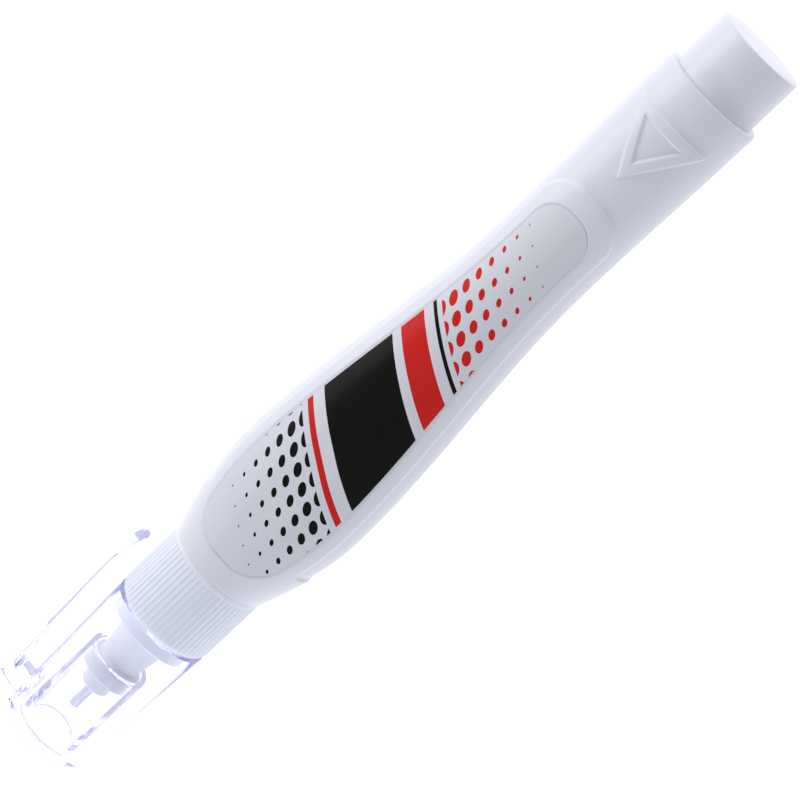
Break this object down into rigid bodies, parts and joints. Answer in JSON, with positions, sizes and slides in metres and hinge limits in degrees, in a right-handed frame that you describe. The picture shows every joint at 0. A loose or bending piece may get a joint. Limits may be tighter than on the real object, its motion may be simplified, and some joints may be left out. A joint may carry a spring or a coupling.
{
  "type": "correction pen",
  "caption": "Correction pen with an oval squeeze bottle, sunk labels, ribbed screw collar, spring needle valve in a metal tip, mixing ball and a clear push-on cap with a pocket clip.",
  "frame": {"origin": "centre of the tail plug's end face", "axes": "+X along the pen from the tail to the writing tip, +Z out of the front label, pocket clip on the -Y side"},
  "size_m": [0.132, 0.021, 0.0152],
  "materials": {
    "bottle_plastic": "satin white, slightly cool",
    "label_film": "printed film with a soft gloss",
    "collar_plastic": "satin lilac white",
    "nozzle_plastic": "satin white",
    "valve_plastic": "natural white",
    "gasket_rubber": "soft black",
    "tip_steel": "drawn stainless steel",
    "spring_steel": "drawn wire",
    "ball_steel": "polished",
    "cap_plastic": "clear with a faint blue tint"
  },
  "bodies": {
    "bottle": {"bottle": "bottle_plastic", "tail_plug": "bottle_plastic", "front_label": "label_film", "back_label": "label_film"},
    "nozzle": {"nozzle": "nozzle_plastic", "neck_gasket": "gasket_rubber", "metal_tip": "tip_steel", "valve_cage": "valve_plastic", "valve_spring": "spring_steel"},
    "collar": {"screw_collar": "collar_plastic"},
    "needle": {"valve_needle": "tip_steel", "valve_stem": "valve_plastic"},
    "cap": {"cap": "cap_plastic"},
    "ball": {"mixing_ball": "ball_steel"}
  },
  "joints": [
    {"name": "nozzle_lift", "type": "slide", "parent": "bottle", "child": "nozzle", "axis": [1, 0, 0], "range_m": [0, 0.0046]},
    {"name": "collar_turn", "type": "hinge", "parent": "nozzle", "child": "collar", "pos_m": [0.1, 0, 0], "axis": [1, 0, 0], "range_deg": [0, 540]},
    {"name": "cap_pull", "type": "slide", "parent": "collar", "child": "cap", "axis": [1, 0, 0], "range_m": [0, 0.03]},
    {"name": "needle_press", "type": "slide", "parent": "nozzle", "child": "needle", "axis": [-1, 0, 0], "range_m": [0, 0.0006], "stiffness_N_per_m": 300, "deforming": ["valve_spring"]},
    {"name": "ball_roll", "type": "slide", "parent": "bottle", "child": "ball", "axis": [1, 0, 0], "range_m": [-0.0013, 0.072]}
  ],
  "couplings": [
    {"joint": "nozzle_lift", "follows": "collar_turn", "m_per_rad": 0.00047746}
  ]
}
